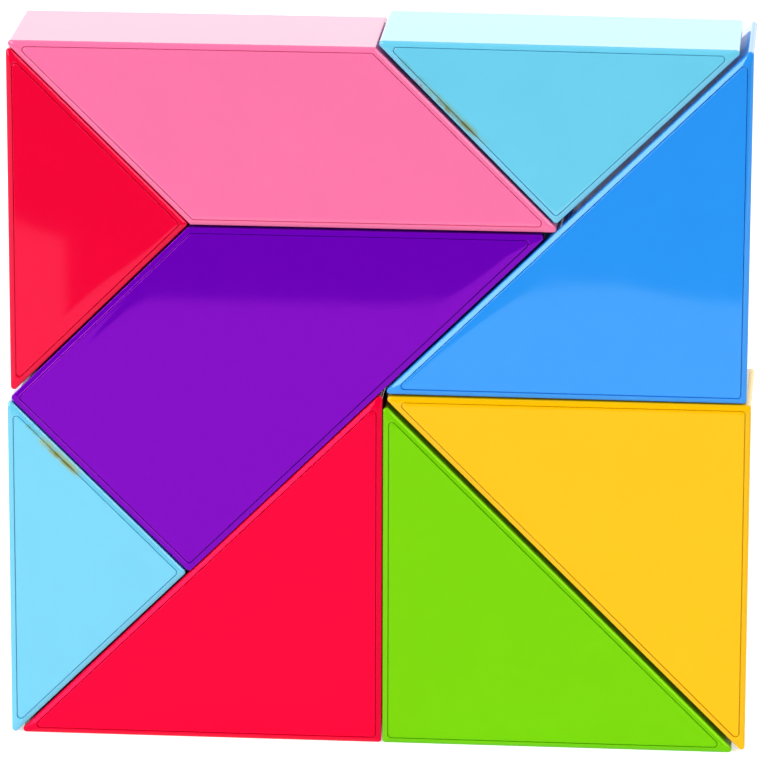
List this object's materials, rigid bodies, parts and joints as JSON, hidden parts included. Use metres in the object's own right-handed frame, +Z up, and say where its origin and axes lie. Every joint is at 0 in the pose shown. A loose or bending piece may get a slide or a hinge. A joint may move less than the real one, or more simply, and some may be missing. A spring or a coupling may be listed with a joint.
{
  "type": "tangram puzzle",
  "caption": "Tangram-type block puzzle of hollow moulded triangles, a parallelogram and a trapezoid in seven colours, joined by hidden magnets into an upright square.",
  "frame": {"origin": "middle of the base, on the surface the square stands on", "axes": "+Z up, +X to the viewer's right, +Y from the front covers to the closed backs"},
  "size_m": [0.1016, 0.0186, 0.0996],
  "materials": {
    "red_plastic": "glossy injection-moulded ABS",
    "pink_plastic": "glossy injection-moulded ABS",
    "cyan_plastic": "glossy injection-moulded ABS",
    "blue_plastic": "glossy injection-moulded ABS",
    "purple_plastic": "glossy injection-moulded ABS",
    "green_plastic": "glossy injection-moulded ABS",
    "yellow_plastic": "glossy injection-moulded ABS",
    "magnet_plating": "nickel-plated bar magnet"
  },
  "bodies": {
    "root": {"red_small_triangle_shell": "red_plastic", "red_small_triangle_cover": "red_plastic", "red_small_triangle_magnets": "magnet_plating", "pink_parallelogram_shell": "pink_plastic", "pink_parallelogram_cover": "pink_plastic", "pink_parallelogram_magnets": "magnet_plating", "cyan_top_triangle_shell": "cyan_plastic", "cyan_top_triangle_cover": "cyan_plastic", "cyan_top_triangle_magnets": "magnet_plating", "blue_large_triangle_shell": "blue_plastic", "blue_large_triangle_cover": "blue_plastic", "blue_large_triangle_magnets": "magnet_plating", "purple_trapezoid_shell": "purple_plastic", "purple_trapezoid_cover": "purple_plastic", "purple_trapezoid_magnets": "magnet_plating", "cyan_left_triangle_shell": "cyan_plastic", "cyan_left_triangle_cover": "cyan_plastic", "cyan_left_triangle_magnets": "magnet_plating", "red_large_triangle_shell": "red_plastic", "red_large_triangle_cover": "red_plastic", "red_large_triangle_magnets": "magnet_plating", "green_large_triangle_shell": "green_plastic", "green_large_triangle_cover": "green_plastic", "green_large_triangle_magnets": "magnet_plating", "yellow_large_triangle_shell": "yellow_plastic", "yellow_large_triangle_cover": "yellow_plastic", "yellow_large_triangle_magnets": "magnet_plating"}
  },
  "joints": []
}
